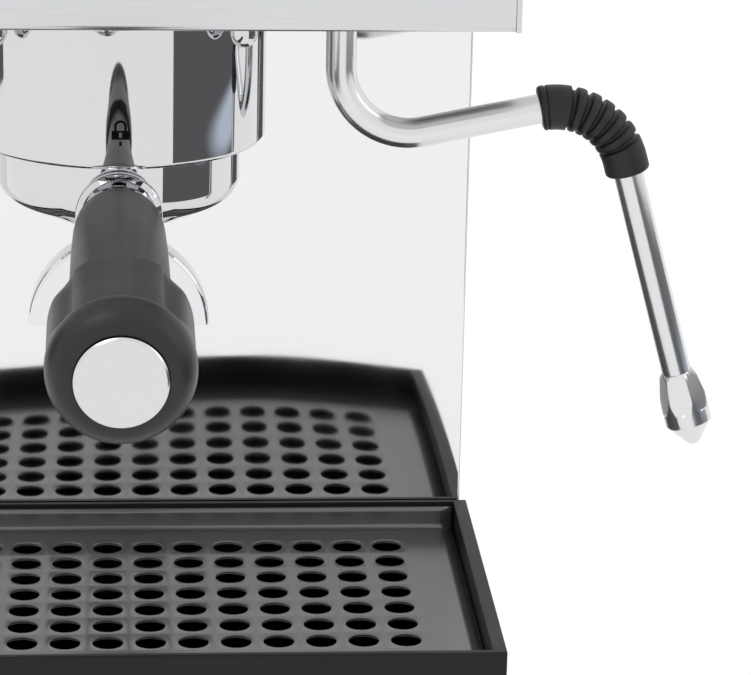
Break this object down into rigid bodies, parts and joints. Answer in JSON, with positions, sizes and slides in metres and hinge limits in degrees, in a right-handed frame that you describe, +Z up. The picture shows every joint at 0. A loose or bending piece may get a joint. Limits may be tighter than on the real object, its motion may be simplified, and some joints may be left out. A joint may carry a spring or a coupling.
{
  "type": "espresso machine",
  "caption": "Compact home espresso machine with a bayonet portafilter, swivelling steam wand, lift-out water tank and pull-out drip tray under a perforated cup grid.",
  "frame": {"origin": "on the table, under the middle of the casing's footprint", "axes": "+Z up, -Y out of the front where the handle points, +X to the user's right, the steam wand's side"},
  "size_m": [0.2958, 0.4198, 0.34],
  "materials": {
    "satin_steel": "satin sheet steel",
    "polished_steel": "mirror polished steel",
    "chrome": "bright chrome",
    "stainless": "plain stainless steel",
    "brass": "machined brass",
    "black_moulding": "fine-textured black",
    "handle_moulding": "dark grey soft touch",
    "black_rubber": "matt rubber",
    "silicone": "translucent silicone and white PTFE",
    "clear_tank": "clear moulded plastic",
    "smoked_lid": "black gloss plastic",
    "gauge_window": "clear",
    "gauge_face": "printed white dial",
    "needle_black": "matt black",
    "lamp": "translucent red jewel"
  },
  "bodies": {
    "chassis": {"back_panel": "satin_steel", "base_pan": "satin_steel", "boiler_bolts": "stainless", "boiler_lower": "brass", "boiler_upper": "brass", "cable_gland": "black_moulding", "cap_nuts": "chrome", "column_front_panel": "polished_steel", "drain_pipe": "chrome", "front_panel": "satin_steel", "gauge_case": "chrome", "gauge_dial": "gauge_face", "gauge_glass": "gauge_window", "group_cover": "chrome", "group_gasket": "black_rubber", "group_head": "brass", "group_lug_ring": "chrome", "head_underside_plate": "satin_steel", "heating_element": "stainless", "hose_tank_to_pump": "silicone", "indicator_lamps": "lamp", "pipe_pump_to_boiler": "silicone", "pump_body": "black_moulding", "pump_bracket": "satin_steel", "pump_coil": "black_moulding", "pump_spring": "stainless", "rubber_feet": "black_rubber", "screws": "stainless", "shower_screen": "stainless", "side_panel_left": "satin_steel", "side_panel_right": "satin_steel", "solenoid_body": "brass", "solenoid_coil": "black_moulding", "steam_pipe": "brass", "steam_valve_body": "brass", "switch_frames": "black_moulding", "tank_dock": "black_moulding", "thermostats": "black_moulding", "top_cover": "satin_steel"},
    "portafilter": {"portafilter_body": "chrome", "portafilter_ferrule": "chrome", "handle_core": "handle_moulding", "handle_grip": "handle_moulding", "handle_end_disc": "chrome", "filter_basket": "stainless", "spout": "chrome"},
    "tray": {"drip_tray": "black_moulding"},
    "grid": {"drip_grid": "stainless"},
    "wand": {"steam_tube": "chrome", "rubber_sleeve": "black_rubber", "steam_tip": "chrome"},
    "steam_control": {"steam_knob": "black_moulding", "steam_spindle": "stainless"},
    "power_switch": {"rocker_power": "black_moulding"},
    "brew_switch": {"rocker_brew": "black_moulding"},
    "steam_switch": {"rocker_steam": "black_moulding"},
    "needle": {"gauge_needle": "needle_black"},
    "tank": {"water_tank": "clear_tank"},
    "lid": {"tank_lid": "smoked_lid"},
    "plunger": {"pump_plunger": "stainless"}
  },
  "joints": [
    {"name": "portafilter_turn", "type": "hinge", "parent": "chassis", "child": "portafilter", "pos_m": [0.0035, -0.092, 0.21], "axis": [0, 0, 1], "range_deg": [-45, 0]},
    {"name": "tray_pull", "type": "slide", "parent": "chassis", "child": "tray", "axis": [0, -1, 0], "range_m": [0, 0.12]},
    {"name": "grid_lift", "type": "slide", "parent": "tray", "child": "grid", "axis": [0, 0, 1], "range_m": [0, 0.04]},
    {"name": "wand_swivel", "type": "hinge", "parent": "chassis", "child": "wand", "pos_m": [0.0675, -0.096, 0.24], "axis": [0, 0, 1], "range_deg": [-95, 45]},
    {"name": "steam_knob_turn", "type": "hinge", "parent": "chassis", "child": "steam_control", "pos_m": [0.07, -0.16, 0.275], "axis": [0, -1, 0], "range_deg": [0, 540]},
    {"name": "power_rocker_tilt", "type": "hinge", "parent": "chassis", "child": "power_switch", "pos_m": [-0.018, -0.1496, 0.297], "axis": [-1, 0, 0], "range_deg": [0, 14]},
    {"name": "brew_rocker_tilt", "type": "hinge", "parent": "chassis", "child": "brew_switch", "pos_m": [0.008, -0.1496, 0.297], "axis": [-1, 0, 0], "range_deg": [0, 14]},
    {"name": "steam_rocker_tilt", "type": "hinge", "parent": "chassis", "child": "steam_switch", "pos_m": [0.034, -0.1496, 0.297], "axis": [-1, 0, 0], "range_deg": [0, 14]},
    {"name": "needle_swing", "type": "hinge", "parent": "chassis", "child": "needle", "pos_m": [-0.07, -0.1509, 0.29], "axis": [0, 1, 0], "range_deg": [0, 270], "stiffness_Nm_per_rad": 0.0002},
    {"name": "tank_lift", "type": "slide", "parent": "chassis", "child": "tank", "axis": [0, 0, 1], "range_m": [0, 0.27]},
    {"name": "lid_hinge", "type": "hinge", "parent": "tank", "child": "lid", "pos_m": [0, 0.1425, 0.3385], "axis": [-1, 0, 0], "range_deg": [0, 95]},
    {"name": "pump_stroke", "type": "slide", "parent": "chassis", "child": "plunger", "axis": [0, 0, 1], "range_m": [0, 0.005], "stiffness_N_per_m": 800, "deforming": ["pump_spring"]}
  ]
}
